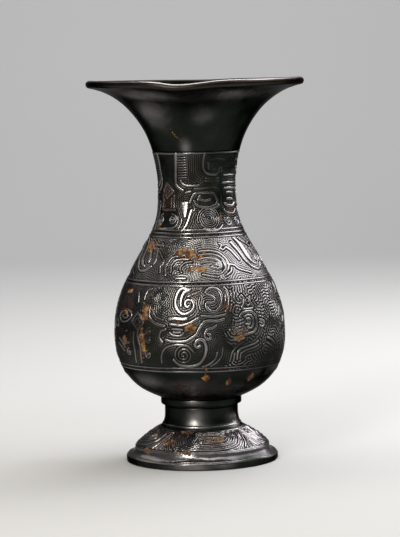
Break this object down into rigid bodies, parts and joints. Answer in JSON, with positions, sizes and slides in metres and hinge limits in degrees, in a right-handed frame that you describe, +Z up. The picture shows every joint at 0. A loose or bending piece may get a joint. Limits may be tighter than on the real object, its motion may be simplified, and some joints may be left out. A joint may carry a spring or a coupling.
{
  "type": "bronze vase",
  "caption": "Archaic-style bronze vase with a trumpet mouth, waisted neck, swelling body and spreading foot, cast in sections with mask and thunder-scroll bands.",
  "frame": {"origin": "centre of the foot's underside, on the table", "axes": "+Z up along the vase's axis of revolution; -Y towards the viewer of the picture"},
  "size_m": [0.148, 0.148, 0.26],
  "materials": {
    "dark_bronze": "dark patina, polished by handling and worn to brown in places",
    "solder": "dull grey solder",
    "core_iron": "rusted"
  },
  "bodies": {
    "root": {"mouth_flare": "dark_bronze", "neck_sleeve": "dark_bronze", "shoulder_shell": "dark_bronze", "belly_bowl": "dark_bronze", "vessel_floor": "dark_bronze", "foot_stem": "dark_bronze", "foot_skirt": "dark_bronze", "mouth_solder": "solder", "neck_solder": "solder", "shoulder_solder": "solder", "floor_solder": "solder", "stem_solder": "solder", "foot_solder": "solder", "core_pins": "core_iron"}
  },
  "joints": []
}
